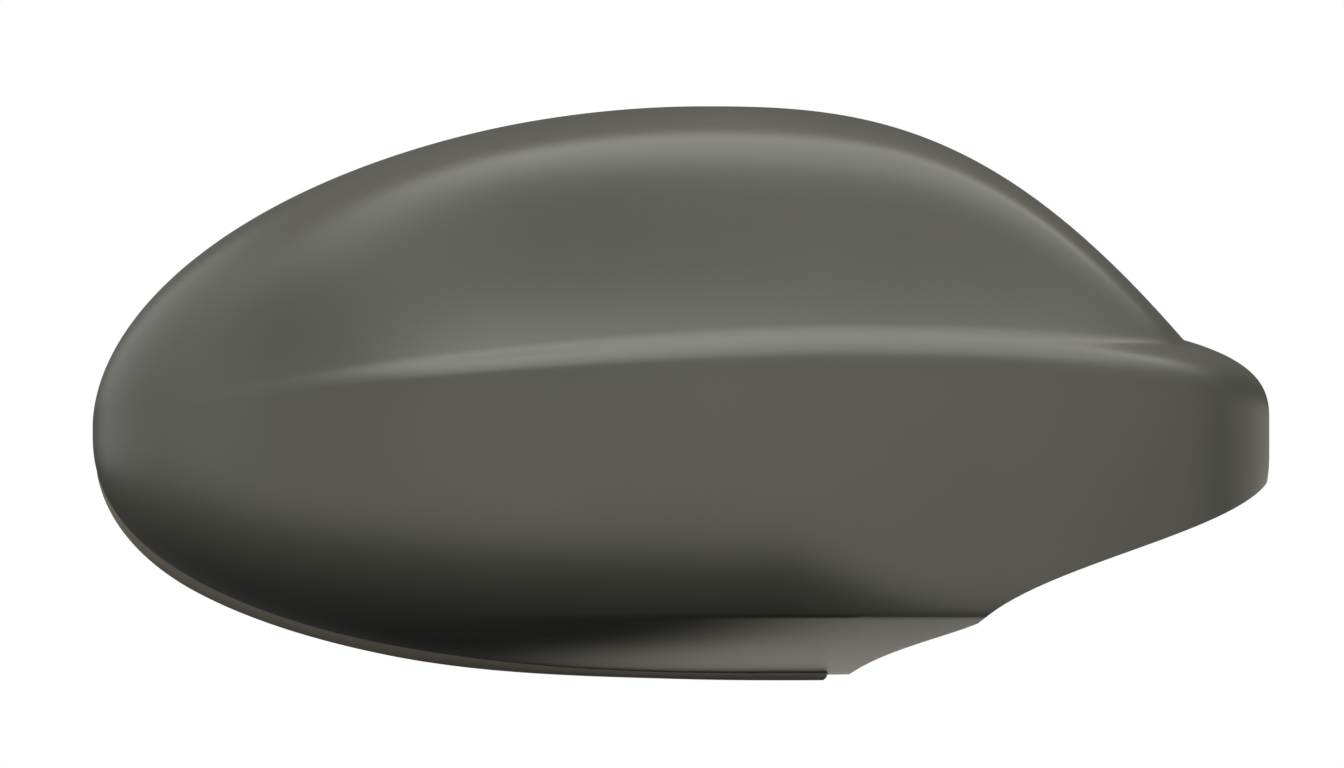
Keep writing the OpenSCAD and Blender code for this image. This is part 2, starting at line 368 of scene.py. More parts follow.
class Tree:
    """A node tree under construction."""

    # Spacing of the nodes in the editor, and how many stand in a row
    ACROSS, DOWN, ROW = 220, -180, 40

    def __init__(self, tree):
        self.tree = tree
        self.places = 0

    def node(self, kind, settings=None, sockets=None):
        """Adds a node: its settings are set first, then the values or links of its sockets."""
        node = self.tree.nodes.new(kind)
        row, column = divmod(self.places, self.ROW)
        node.location = (self.ACROSS * column, self.DOWN * row)
        self.places += 1
        for key, value in (settings or {}).items():
            if key == "stops":
                self.set_stops(node.color_ramp, value)
            else:
                setattr(node, key, value)
        for key, value in (sockets or {}).items():
            for part in value if isinstance(value, list) else [value]:
                self.put(node.inputs[key], part)
        return Node(self, node)

    def put(self, socket, value):
        if isinstance(value, Value):
            self.tree.links.new(value.socket, socket)
        elif isinstance(value, bpy.types.NodeSocket):
            self.tree.links.new(value, socket)
        else:
            socket.default_value = value

    def set_stops(self, ramp, stops):
        while len(ramp.elements) < len(stops):
            ramp.elements.new(1)
        for element, (place, colour) in zip(ramp.elements, stops):
            element.position = place
            element.color = colour

    def vector(self, x, y, z):
        return self.node("ShaderNodeCombineXYZ", None, {0: x, 1: y, 2: z}).out()

    def split(self, vector):
        node = self.node("ShaderNodeSeparateXYZ", None, {0: vector})
        return node.value(0), node.value(1), node.value(2)

    def pick(self, index, values):
        """The value whose number is index."""
        total = 0
        for place, value in enumerate(values):
            total = index.math("COMPARE", place, 0.5) * value + total
        return total

    def path(self, share, values):
        """A polyline through the values, spread evenly over share from 0 to 1."""
        total = values[0]
        steps = len(values) - 1
        for place in range(steps):
            rise = values[place + 1] - values[place]
            if rise:
                total = (share * steps - place).clamped() * rise + total
        return total


def ease(value):
    share = value.clamped()
    return share * share * (3 - 2 * share)


def lerp(start, end, share):
    return start + (end - start) * share


def arch(x, mid, ends, form):
    """1 at mid and 0 at both ends, falling as a superellipse on each side."""
    outer_power, inner_power, inner_root = form
    before = ((mid - x) / (mid - ends[0])).clamped()
    after = ((x - mid) / (ends[1] - mid)).clamped()
    outer = (1 - before ** outer_power) ** (1 / outer_power)
    return outer * (1 - after ** inner_power) ** inner_root


def ray(across, up, depth, height, power):
    """Distance from the axis line to a superellipse."""
    wide = (across / depth.at_least(TINY)) ** power
    tall = (up / height.at_least(TINY)) ** power
    return (wide + tall) ** (-1 / power)


class Cover:
    """The rules of the cover's surface and the solids made from them, in one node tree.

    The rules that are used more than once are node groups of their own, which take every size.
    """

    def __init__(self, tree, sizes):
        self.tree = tree
        self.size = sizes
        self.half = sizes["Length"] / 2

    def rule(self, name, values):
        """Adds a rule's node group, made on its first use, and gives its outputs in order."""
        inputs, outputs, work = RULES[name]
        group = bpy.data.node_groups.get(name)
        if group is None:
            group = bpy.data.node_groups.new(name, "GeometryNodeTree")
            for label in (*self.size, *inputs):
                group.interface.new_socket(label, in_out="INPUT", socket_type="NodeSocketFloat")
            for label in outputs:
                group.interface.new_socket(label, in_out="OUTPUT", socket_type="NodeSocketFloat")
            tree = Tree(group)
            entry = tree.node("NodeGroupInput")
            sizes = {label: entry.value(label) for label in self.size}
            results = work(Cover(tree, sizes), *(entry.value(label) for label in inputs))
            tree.node("NodeGroupOutput", None, dict(enumerate(results)))
        sockets = {**self.size, **dict(zip(inputs, values))}
        node = self.tree.node("GeometryNodeGroup", {"node_tree": group}, sockets)
        return [node.value(label) for label in outputs]

    def ends(self, inset):
        return (inset - self.half, self.half - inset)

    def dome_top(self, x, inset):
        size = self.size
        shape = arch(x, size["Dome Peak"], self.ends(inset), TOP_ARCH)
        return (size["Dome Rise"] - inset) * shape

    def flare(self, x):
        size = self.size
        share = ease((x - CREASE_START) / (size["Foremost Place"] - CREASE_START))
        return lerp(size["Tip Flare"], size["Flare"], share)

    def dome_front(self, x, inset):
        size = self.size
        ends = (inset - self.half, size["Dome End"] - inset)
        shape = arch(x, size["Foremost Place"] - DOME_LAG, ends, FRONT_ARCH)
        return (size["Depth"] - size["Ledge"] - self.flare(x) - inset) * shape

    def nose_top(self, x, inset):
        mid = self.size["Foremost Place"] - CREASE_LAG
        shape = arch(x, mid, self.ends(inset), NOSE_ARCH)
        return (self.size["Nose Rise"] - inset) * shape

    def keel(self, x, inset):
        shape = arch(x, self.size["Foremost Place"], self.ends(inset), KEEL_ARCH)
        return ((self.size["Depth"] - inset) * shape).at_least(TINY)

    def belly_low(self, x, inset):
        shape = arch(x, self.size["Lowest Place"], self.ends(inset), BELLY_ARCH)
        return ((self.size["Belly Drop"] - inset) * shape).at_least(TINY)

    def belly_power(self, x):
        return lerp(BELLY_POWER, ARM_POWER, ease((x - BELLY_START) / BELLY_RUN))

    def edge(self, x, inset):
        """Share of the belly's drop at which the lower edge runs, and its depth."""
        share = (self.size["Edge Drop"] / self.belly_low(x, 0)).at_most(EDGE_LIMIT)
        power = self.belly_power(x)
        return share, self.keel(x, inset) * (1 - share ** power) ** (1 / power)

    def angles(self, x, inset):
        """Angles from the axis line at which the crease and the lower edge run."""
        share, depth = self.edge(x, inset)
        height = self.nose_top(x, inset) * CREASE_SHARE
        crease = (height / self.keel(x, inset)).math("ARCTANGENT")
        return crease, (share * self.belly_low(x, inset) / depth).math("ARCTANGENT")

    def surface(self, x, angle, inset):
        """A point of the surface, from a right angle at the upper rim to minus one below."""
        size = self.size
        across = angle.cos()
        up = angle.sin().math("ABSOLUTE")
        keel = self.keel(x, inset)
        taper = keel / (size["Depth"] - inset)
        power = lerp(DOME_POWER, FLANK_POWER, ease((x - FLANK_START) / FLANK_RUN))
        top = self.dome_top(x, inset)
        dome = ray(across, up, self.dome_front(x, inset), top, power)
        height = self.nose_top(x, inset)
        crease = (height * CREASE_SHARE / keel).math("ARCTANGENT")
        flare = self.flare(x)
        near = (1 - (angle - crease) / FOOT_ANGLE).clamped() ** FOOT_POWER
        dome = dome * (1 + flare / (size["Depth"] - size["Ledge"] - flare) * near)
        nose = ray(across, up, keel, height, NOSE_POWER)
        creased = dome.soft_max(nose, VALLEY * taper * across * ease(angle / crease))
        plain = ray(across, up, keel, top, PLAIN_POWER)
        upper = lerp(plain, creased, ease((x - CREASE_START) / CREASE_RUN))
        share, depth = self.edge(x, inset)
        low = self.belly_low(x, inset)
        flat = low / (up + across * (1 - share) * low / depth).at_least(LEAST)
        belly = ray(across, up, keel, low, self.belly_power(x))
        cut = (belly - flat).soft_max(0, EDGE_SOFT * taper)
        start = size["Edge Fade Place"]
        fade = ease((x - start) / (size["Foremost Place"] - start))
        radius = lerp(belly - cut * fade, upper, angle > 0)
        return -radius * across, size["Axis Height"] + radius * angle.sin()

    def rim(self, x, side, inset):
        """Height of the rim at x, above for side 1 and below for side 0, and its slope."""
        heights = []
        for place in (x - RIM_STEP, x + RIM_STEP):
            low = -self.belly_low(place, inset)
            heights.append(lerp(low, self.dome_top(place, inset), side))
        middle = self.size["Axis Height"] + (heights[0] + heights[1]) / 2
        return middle, ((heights[1] - heights[0]) / (2 * RIM_STEP)).math("ARCTANGENT")

    def solid(self, inset, back, steps, detail):
        """A closed solid that fills the surface up to the plane Y = back."""
        tree = self.tree
        along = int(steps[0] * detail)
        rows = [int(number * detail) for number in steps[1]]
        lead = 1 if back else 0
        count = sum(rows) + 2 + 2 * lead
        grid = tree.node(
            "GeometryNodeMeshGrid", None, {0: 1, 1: 1, 2: along + 1, 3: count}
        )
        u, v, _ = tree.split(tree.node("GeometryNodeInputPosition").out())
        row = (v + 0.5) * (count - 1)
        row = row * (row < count - 1.5)
        step = (row - lead).at_least(0).at_most(sum(rows))
        x = -((u + 0.5) * math.pi).cos() * (self.half - inset)
        crease, edge = self.rule("section angles", (x, inset))
        wide = lerp(FOOT_ROWS * crease, FAN_ANGLE, ease((x - FAN_START) / FAN_RUN))
        stops = (math.radians(90), wide, 0, -edge, math.radians(-90))
        angle = stops[0]
        first = 0
        for place, number in enumerate(rows):
            share = ((step - first) / number).clamped() ** ROW_BENDS[place]
            angle = angle + (stops[place + 1] - stops[place]) * share
            first += number
        y, z = self.rule("cover surface", (x, angle, inset))
        if back:
            behind = (row < 0.5) + (row > count - 2.5)
            y = lerp(y + APART, back, behind)
        moved = self.place(grid.out(), x, y, z)
        flipped = tree.node("GeometryNodeFlipFaces", None, {0: moved}).out()
        sockets = {"Geometry": flipped, "Distance": MERGE}
        return tree.node("GeometryNodeMergeByDistance", None, sockets).out()

    def place(self, geometry, x, y, z):
        position = self.tree.vector(x, y, z)
        sockets = {"Geometry": geometry, "Position": position}
        return self.tree.node("GeometryNodeSetPosition", None, sockets).out()

    def boolean(self, operation, first, others):
        settings = {"operation": operation, "solver": "MANIFOLD"}
        if operation == "DIFFERENCE":
            sockets = {"Mesh 1": first, "Mesh 2": others}
        else:
            sockets = {"Mesh 2": [first, *others]}
        return self.tree.node("GeometryNodeMeshBoolean", settings, sockets).out()

    def block(self, x, y, z, place):
        """A box of that size around the place."""
        sockets = {"Size": (x * MM, y * MM, z * MM)}
        cube = self.tree.node("GeometryNodeMeshCube", None, sockets).out()
        sockets = {"Geometry": cube, "Translation": [tuple(v * MM for v in place)]}
        return self.tree.node("GeometryNodeTransform", None, sockets).out()

    def unit_block(self, across, along):
        """A cube of size 1 with that many points along X and along Y."""
        counts = {"Vertices X": across, "Vertices Y": along, "Vertices Z": 2}
        sockets = {"Size": (1, 1, 1), **counts}
        return self.tree.node("GeometryNodeMeshCube", None, sockets).out()

    def at_rim(self, shape, shares, side):
        """Copies of a shape on the rim's inner edge, above for side 1, with Z pointing out."""
        tree = self.tree
        points = tree.node("GeometryNodePoints", None, {"Count": len(shares)}).out()
        index = tree.node("GeometryNodeInputIndex").value()
        x = tree.pick(index, shares) * self.half
        height, slope = self.rule("rim line", (x, side, self.size["Wall"]))
        placed = self.place(points, x, 0, height)
        turn = math.pi * (1 - side) - slope
        rotation = tree.node(
            "FunctionNodeEulerToRotation", None, {0: tree.vector(0, turn, 0)}
        ).out()
        sockets = {"Points": placed, "Instance": shape, "Rotation": rotation}
        copies = tree.node("GeometryNodeInstanceOnPoints", None, sockets).out()
        return tree.node("GeometryNodeRealizeInstances", None, {0: copies}).out()

    def tab_plate(self, root):
        """A snap tab's plate, with a hook at its end behind the rim."""
        face = -TAB_GAP - TAB_THICK
        place = (0, (TAB_REACH - root) / 2, face + TAB_THICK / 2)
        plate = self.block(TAB_WIDTH, root + TAB_REACH, TAB_THICK, place)
        height = HOOK_SUNK + HOOK_HEIGHT
        place = (0, TAB_REACH - HOOK_RUN / 2, face + HOOK_SUNK - height / 2)
        hook = self.block(TAB_WIDTH, HOOK_RUN, height, place)
        tree = self.tree
        _, y, z = tree.split(tree.node("GeometryNodeInputPosition").out())
        end = (y > (TAB_REACH - HOOK_RUN / 2) * MM) * (z < (face - HOOK_HEIGHT / 2) * MM)
        sockets = {"Geometry": hook, "Offset": tree.vector(0, 0, end * HOOK_HEIGHT * MM)}
        hook = tree.node("GeometryNodeSetPosition", None, sockets).out()
        return self.boolean("UNION", plate, [hook])

    def tab_foot(self, root):
        """What joins a tab's plate to the wall."""
        face = -TAB_GAP - TAB_THICK
        place = (0, -(root + FOOT_BACK) / 2, (FOOT_SUNK + face) / 2)
        slack = 2 * TAB_SLACK
        length = root - FOOT_BACK
        return self.block(TAB_WIDTH - slack, length - slack, FOOT_SUNK - face - slack, place)

    def rod(self, diameter, tip, start, end, turn=0):
        """A rod along Y, at the pegs' height, turned around Y, with its own diameter at its tip."""
        sockets = {
            "Vertices": ROUND_STEPS,
            "Radius Top": tip * MM / 2,
            "Radius Bottom": diameter * MM / 2,
            "Depth": (end - start) * MM,
        }
        cone = self.tree.node("GeometryNodeMeshCone", None, sockets).out()
        sockets = {
            "Geometry": cone,
            "Rotation": (math.radians(-90), turn, 0),
            "Translation": (0, start * MM, PEG_HEIGHT * MM),
        }
        return self.tree.node("GeometryNodeTransform", None, sockets).out()

    def peg(self):
        """A locating peg with a chamfered end."""
        shaft = self.rod(PEG_D, PEG_D, -BOSS_DEPTH - PEG_ROOT, PEG_END)
        tip = PEG_D - 2 * PEG_CHAMFER
        turn = math.pi / ROUND_STEPS
        cone = self.rod(tip + 2 * PEG_CONE, tip, PEG_END - PEG_CONE, PEG_END, turn)
        return self.boolean("INTERSECT", shaft, [cone])

    def ribs(self):
        """Ribs across the inside of the shell, sunk into its wall."""
        tree = self.tree
        shares = UPPER_RIBS + LOWER_RIBS
        spans = [UPPER_SPAN] * len(UPPER_RIBS) + [LOWER_SPAN] * len(LOWER_RIBS)
        points = tree.node("GeometryNodePoints", None, {"Count": len(shares)}).out()
        index = tree.node("GeometryNodeInputIndex").value()
        for name, values in (
            ("station", shares),
            ("start", [span[0] for span in spans]),
            ("end", [span[1] for span in spans]),
        ):
            sockets = {"Geometry": points, "Name": name, "Value": tree.pick(index, values)}
            points = tree.node("GeometryNodeStoreNamedAttribute", None, sockets).out()
        cube = self.unit_block(2, RIB_STEPS + 1)
        sockets = {"Points": points, "Instance": cube}
        copies = tree.node("GeometryNodeInstanceOnPoints", None, sockets).out()
        copies = tree.node("GeometryNodeRealizeInstances", None, {0: copies}).out()
        side, share, layer = tree.split(tree.node("GeometryNodeInputPosition").out())
        station = self.attribute("station") * self.half
        wall = self.size["Wall"]
        inset = lerp(wall / 2, wall + self.size["Rib Height"], layer > 0)
        angle = lerp(self.attribute("start"), self.attribute("end"), share + 0.5)
        y, z = self.rule("cover surface", (station, angle * math.radians(1), inset))
        return self.place(copies, station + side * self.size["Rib Thickness"], y, z)

    def attribute(self, name):
        return self.tree.node("GeometryNodeInputNamedAttribute", None, {"Name": name}).value()

    def rim_bead(self):
        """The bead along the lower rim, which grows from the outer tip and ends by the arm."""
        tree = self.tree
        corners = len(BEAD_SECTION)
        sockets = {"Vertices": corners, "Side Segments": BEAD_STEPS, "Radius": 1, "Depth": 1}
        tube = tree.node("GeometryNodeMeshCylinder", None, sockets).out()
        px, py, pz = tree.split(tree.node("GeometryNodeInputPosition").out())
        around = py.math("ARCTAN2", px) / math.tau
        around = around + (around < -TURN_SLACK)
        closed = BEAD_SECTION + BEAD_SECTION[:1]
        out = tree.path(around, [corner[0] for corner in closed])
        y = tree.path(around, [corner[1] for corner in closed]) * MM
        share = pz + 0.5
        start = BEAD_ROOT - self.half
        run = self.size["Arm Place"] - BEAD_GAP - start
        at = start + run * (1 - (share * math.pi / 2).cos())
        height, slope = self.rule("rim line", (at, 0, 0))
        thinner = lerp(1, BEAD_SHARE, ease((at - BEAD_START) / BEAD_RUN))
        proud = self.size["Bead Height"] * ease(share * BEAD_GROWTH + BEAD_FIRST) * thinner
        out = lerp(BEAD_ROOT, proud, out > 0) * out
        slant = out.at_least(0) * BEAD_SLANT * (share > 1 - 0.5 / BEAD_STEPS)
        x = at + slope.sin() * out - slant
        return self.place(tube, x, y.at_most(-APART), height - slope.cos() * out)

    def arm_cutter(self):
        """The space of the arm: from the lower rim to the lower edge, then to the inner tip."""
        tree = self.tree
        px, py, pz = tree.split(tree.node("GeometryNodeInputPosition").out())
        axis = self.size["Axis Height"]
        arm = self.size["Arm Place"]
        start = (arm, axis - self.size["Belly Drop"] - LOW_MARGIN)
        corner = (arm + ARM_RUN, axis - self.size["Edge Drop"] - EDGE_MARGIN)
        tip = (self.half - TIP_MARGIN, self.size["Arm Height"])
        share = (px + 0.5) * 3
        places = []
        for axis_number in (0, 1):
            ends = [point[axis_number] for point in (start, corner, tip)]
            pulls = [pull[axis_number] for pull in STRIP_PULLS + FRONT_PULLS]
            strip = (ends[0], ends[0] + pulls[0], ends[1] - pulls[1], ends[1])
            front = (ends[1], ends[1] + pulls[2], ends[2] - pulls[3], ends[2])
            first = self.curve(share.clamped(), strip)
            second = self.curve((share - 1).clamped(), front)
            places.append(first + (second - ends[1]))
        x = places[0] + (share - 2).clamped() * ARM_FAR
        z = lerp(ARM_FLOOR, places[1], pz > 0)
        return self.place(self.unit_block(ARM_STEPS + 1, 2), x, py * ARM_LENGTH, z)

    def curve(self, share, values):
        """A cubic curve through four control values."""
        rest = 1 - share
        return (
            rest * rest * rest * values[0]
            + 3 * rest * rest * share * values[1]
            + 3 * rest * share * share * values[2]
            + share * share * share * values[3]
        )

    def build(self, detail):
        """The whole moulding, with the outer skin's steps times detail."""
        outer = self.solid(0, 0, OUTER_STEPS, detail)
        hollow = self.solid(self.size["Wall"], BACK, INNER_STEPS, 1)
        boss = self.rod(BOSS_D, BOSS_D, -BOSS_DEPTH - BOSS_LENGTH, -BOSS_DEPTH)
        feet = [
            self.at_rim(self.tab_foot(UPPER_ROOT), UPPER_TABS, 1),
            self.at_rim(self.tab_foot(LOWER_ROOT), LOWER_TABS, 0),
            self.at_rim(boss, PEGS, 1),
            self.ribs(),
        ]
        hollow = self.boolean("DIFFERENCE", hollow, feet)
        hollow = self.mark(hollow, "inside")
        shell = self.boolean("UNION", outer, [self.mark(self.rim_bead(), "bead")])
        shell = self.boolean("DIFFERENCE", shell, [hollow])
        fittings = [
            self.at_rim(self.tab_plate(UPPER_ROOT), UPPER_TABS, 1),
            self.at_rim(self.tab_plate(LOWER_ROOT), LOWER_TABS, 0),
            self.at_rim(self.peg(), PEGS, 1),
        ]
        fittings = [self.mark(fitting, "inside") for fitting in fittings]
        shell = self.boolean("UNION", shell, fittings)
        return self.boolean("DIFFERENCE", shell, [self.arm_cutter()])

    def mark(self, geometry, name):
        """Marks the faces for the material with an attribute of that name."""
        settings = {"data_type": "FLOAT", "domain": "FACE"}
        sockets = {"Geometry": geometry, "Name": name, "Value": 1.0}
        return self.tree.node("GeometryNodeStoreNamedAttribute", settings, sockets).out()


RULES = {
    "section angles": (("X", "Inset"), ("Crease", "Edge"), Cover.angles),
    "cover surface": (("X", "Angle", "Inset"), ("Y", "Z"), Cover.surface),
    "rim line": (("X", "Side", "Inset"), ("Height", "Slope"), Cover.rim),
}


def size_property(name, value, description):
    return bpy.props.FloatProperty(
        name=name,
        description=description,
        default=value * MM,
        unit="LENGTH",
        subtype="DISTANCE",
        precision=4,
    )


def colour_property(name, value, description):
    return bpy.props.FloatVectorProperty(
        name=name,
        description=description,
        default=value,
        size=3,
        min=0,
        max=1,
        subtype="COLOR",
    )


class CoverSizes(bpy.types.PropertyGroup):
    """Sizes of the cover."""

    length: size_property("Length", 244, "Length along X")
    dome_rise: size_property("Dome Rise", 66.8, "Height of the dome above the axis line")
    belly_drop: size_property("Belly Drop", 51, "Depth of the belly below the axis line")
    depth: size_property("Depth", 76, "From the rim plane to the foremost point")
    wall: size_property("Wall", 2.5, "Thickness of the shell's wall")
    axis_height: size_property("Axis Height", -7.4, "Height of the axis line")
    dome_peak: size_property("Dome Peak", 4, "Place of the dome's highest point along X")
    dome_end: size_property("Dome End", 112, "Place of the dome's inner end along X")
    ledge: size_property("Ledge", 1.5, "Setback of the dome's foot behind the crease")
    flare: size_property("Flare", 8, "Setback of the dome's field behind its foot")
    tip_flare: size_property("Tip Flare", 12, "The same setback at the outer tip")
    nose_rise: size_property("Nose Rise", 25, "Height of the nose above the axis line")
    foremost_place: size_property("Foremost Place", 45, "Place of the foremost point along X")
    lowest_place: size_property("Lowest Place", 22, "Place of the lowest point along X")
    edge_drop: size_property("Edge Drop", 38, "Depth of the lower edge below the axis line")
    edge_fade_place: size_property("Edge Fade Place", -75, "Where the lower edge has faded out")
    bead_height: size_property("Bead Height", 2.3, "Height of the bead above the outer wall")
    arm_place: size_property("Arm Place", 33, "Where the arm's opening leaves the lower rim")
    arm_height: size_property("Arm Height", -17.5, "Height of the opening's end")
    rib_thickness: size_property("Rib Thickness", 1.4, "Thickness of a rib")
    rib_height: size_property("Rib Height", 5, "Height of a rib above the inner wall")


class CoverColours(bpy.types.PropertyGroup):
    """Colours and finish of the cover."""

    primer: colour_property("Primer", (0.113, 0.114, 0.095), "Colour of the primed outside")
    # The bead's colour is partly a guessed rubbed edge and partly painted light, made lighter to
    # stand in for light that the lamps don't bring to it under the belly
    worn_bead: colour_property("Worn Bead", (0.62, 0.56, 0.45), "Colour of the rubbed bead")
    plastic: colour_property("Plastic", (0.028, 0.028, 0.027), "Colour of the bare inside")
    gloss: bpy.props.FloatProperty(
        name="Primer Roughness",
        description="Roughness of the primed outside",
        default=0.37,
        min=0.05,
        max=1,
        subtype="FACTOR",
    )


class StageSizes(bpy.types.PropertyGroup):
    """Light and floor."""

    key_power: bpy.props.FloatProperty(
        name="Key Power",
        description="Power of the light above the front",
        default=7.2,
        min=0,
        unit="POWER",
    )
    front_power: bpy.props.FloatProperty(
        name="Front Power",
        description="Power of the broad light in front",
        default=8,
        min=0,
        unit="POWER",
    )
    side_power: bpy.props.FloatProperty(
        name="Side Power",
        description="Power of the light beside the outer tip",
        default=6,
        min=0,
        unit="POWER",
    )
    low_power: bpy.props.FloatProperty(
        name="Low Power",
        description="Power of the light at the height of the camera",
        default=1.6,
        min=0,
        unit="POWER",
    )
    ambient: bpy.props.FloatProperty(
        name="Ambient",
        description="Strength of the light from all around",
        default=0.12,
        min=0,
    )
    floor_drop: size_property("Floor Drop", 25, "From the cover's lowest point to the floor")
    floor_white: bpy.props.FloatProperty(
        name="Floor White",
        description="Share of plain white that the camera sees in the floor",
        default=1,
        min=0,
        max=1,
        subtype="FACTOR",
    )
    near_white: bpy.props.FloatProperty(
        name="Near White",
        description="The same share beside the cover, where its shadow falls",
        default=0.5,
        min=0,
        max=1,
        subtype="FACTOR",
    )


def primed_plastic():
    """Satin primer outside, and bare grained plastic with overspray inside."""
    colours = bpy.context.scene.cover_colours
    material = bpy.data.materials.new("primed_plastic")
    material.use_nodes = True
    material.node_tree.nodes.clear()
    tree = Tree(material.node_tree)
    place = tree.node("ShaderNodeTexCoord").out("Object")
    inside, bead = (
        tree.node("ShaderNodeAttribute", {"attribute_name": name}).value("Fac")
        for name in ("inside", "bead")
    )
    _, y, _ = tree.split(place)

    def noise(scale, detail, rough=0.5):
        sockets = {"Vector": place, "Scale": scale, "Detail": detail, "Roughness": rough}
        return tree.node("ShaderNodeTexNoise", None, sockets).value("Fac")

    clouds = noise(CLOUD_SCALE, 3)
    grain = noise(GRAIN_SCALE, 2)
    speckle = noise(SPECKLE_SCALE, 1)
    wander = (noise(SPRAY_SCALE, 4, 0.7) - 0.5) * SPRAY_WANDER
    edge = ((y / MM + SPRAY_DEPTH + wander) / SPRAY_DEPTH).clamped()
    bare = (inside * (1 - SPRAY_COVER * edge)).clamped()

    def mix(factor, first, second, blend="MIX"):
        settings = {"data_type": "RGBA", "blend_type": blend}
        sockets = {0: factor, 6: first, 7: second}
        return tree.node("ShaderNodeMix", settings, sockets).out(2)

    primer = tuple(colours.primer)
    light = tuple(channel * (1 + PRIMER_SPREAD) for channel in primer)
    dark = tuple(channel * (1 - PRIMER_SPREAD) for channel in primer)
    paint = mix((clouds - CLOUD_START) * CLOUD_GAIN, (*dark, 1), (*light, 1))
    paint = mix((speckle - SPECKLE_START) * SPECKLE_GAIN, paint, (*light, 1))
    # Painted light in part: the bead's lighter colour stands in for light that the lamps don't
    # bring under the belly, and in part it is a guessed rubbed edge
    rubbed_and_lit = bead * (BEAD_EVEN + (1 - BEAD_EVEN) * clouds)
    paint = mix(rubbed_and_lit, paint, (*colours.worn_bead, 1))
    plastic = tuple(colours.plastic)
    raw = mix(grain, (*plastic, 1), (*(channel * GRAIN_LIGHT for channel in plastic), 1))
    colour = mix(bare, paint, raw)
    paint_rough = colours.gloss + (clouds - 0.5) * ROUGH_CLOUDS + (grain - 0.5) * ROUGH_GRAIN
    rough = lerp(paint_rough, PLASTIC_ROUGHNESS + (grain - 0.5) * ROUGH_PLASTIC, bare)
    height = lerp(noise(PEEL_SCALE, 2) * PEEL_HEIGHT + speckle * SPECKLE_HEIGHT, grain, bare)
    sockets = {"Strength": BUMP_STRENGTH, "Distance": BUMP_DEPTH, "Height": height}
    bump = tree.node("ShaderNodeBump", None, sockets).out()
    shader = tree.node(
        "ShaderNodeBsdfPrincipled",
        None,
        {
            "Base Color": colour,
            "Roughness": rough,
            "Normal": bump,
            "IOR": 1.5,
            "Specular IOR Level": 0.7,
        },
    ).out()
    tree.node("ShaderNodeOutputMaterial", None, {"Surface": shader})
    return material


class MIRROR_OT_cover(bpy.types.Operator):
    """Makes the cover with its bead, tabs, pegs and ribs, in place of its plain solid"""

    bl_idname = "mirror.cover"
    bl_label = "Cover"

    def execute(self, context):
        group = bpy.data.node_groups.new("cover moulding", "GeometryNodeTree")
        face = group.interface
        face.new_socket("Geometry", in_out="OUTPUT", socket_type="NodeSocketGeometry")
        values = {}
        sizes = context.scene.cover_sizes
        for key in CoverSizes.__annotations__:
            name = key.replace("_", " ").title()
            socket = face.new_socket(name, in_out="INPUT", socket_type="NodeSocketFloat")
            socket.subtype = "DISTANCE"
            socket.default_value = getattr(sizes, key)
            values[name] = socket.identifier
        paint = face.new_socket("Finish", in_out="INPUT", socket_type="NodeSocketMaterial")
        tree = Tree(group)
        entry = tree.node("NodeGroupInput")
        inputs = {name: entry.value(name) for name in values}
        cover = Cover(tree, inputs)
        shape = cover.build(1)
        shape = tree.node("GeometryNodeRealizeInstances", None, {0: shape}).out()
        sockets = {"Geometry": shape, "Material": entry.out("Finish")}
        shape = tree.node("GeometryNodeSetMaterial", None, sockets).out()
        tree.node("NodeGroupOutput", None, {0: shape})

        maker = bpy.data.objects.new("cover maker", bpy.data.meshes.new("cover maker"))
        context.collection.objects.link(maker)
        modifier = maker.modifiers.new("Moulding", "NODES")
        modifier.node_group = group
        for key in CoverSizes.__annotations__:
            modifier[values[key.replace("_", " ").title()]] = getattr(sizes, key)
        modifier[paint.identifier] = primed_plastic()
        depsgraph = context.evaluated_depsgraph_get()
        mesh = bpy.data.meshes.new_from_object(maker.evaluated_get(depsgraph))
        if not mesh.polygons:
            raise RuntimeError("the cover's node tree gave no faces")
        bpy.data.objects.remove(maker)
        piece = bpy.data.objects.new("mirror_cover_skin", mesh)
        context.collection.objects.link(piece)
        mesh.shade_smooth()
        mesh.set_sharp_from_angle(angle=SHARP_ANGLE)
        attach(piece, "root")
        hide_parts("mirror_cover")
        return {"FINISHED"}


